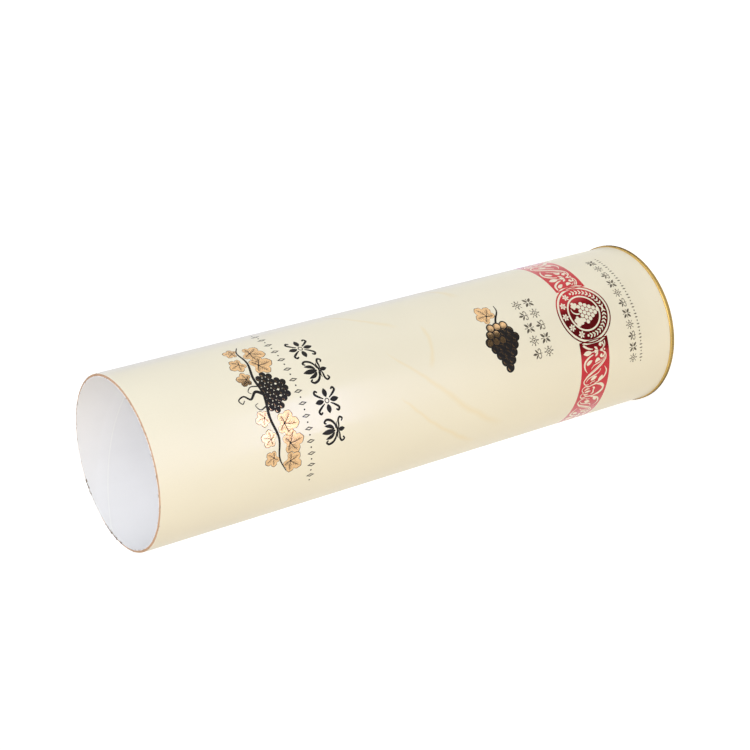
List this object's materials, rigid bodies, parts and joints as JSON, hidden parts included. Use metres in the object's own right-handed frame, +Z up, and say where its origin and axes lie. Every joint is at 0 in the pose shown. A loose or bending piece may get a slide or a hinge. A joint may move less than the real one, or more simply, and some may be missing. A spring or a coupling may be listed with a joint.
{
  "type": "wine bottle tube",
  "caption": "Round board tube for one wine bottle, open at the top, with a printed paper wrap, a white paper liner and a tinplate end seamed to its foot.",
  "frame": {"origin": "centre of the foot, on the surface that the tube stands on", "axes": "+Z up along the tube's axis towards the open mouth, front of the print facing -Y"},
  "size_m": [0.0936, 0.0936, 0.3325],
  "materials": {
    "board": "brown cut edge",
    "wrap_paper": "satin laminated cream print",
    "liner_paper": "smooth white",
    "lacquered_tinplate": "gold lacquer"
  },
  "bodies": {
    "root": {"board_tube": "board", "printed_wrap": "wrap_paper", "inner_liner": "liner_paper", "metal_end": "lacquered_tinplate"}
  },
  "joints": []
}
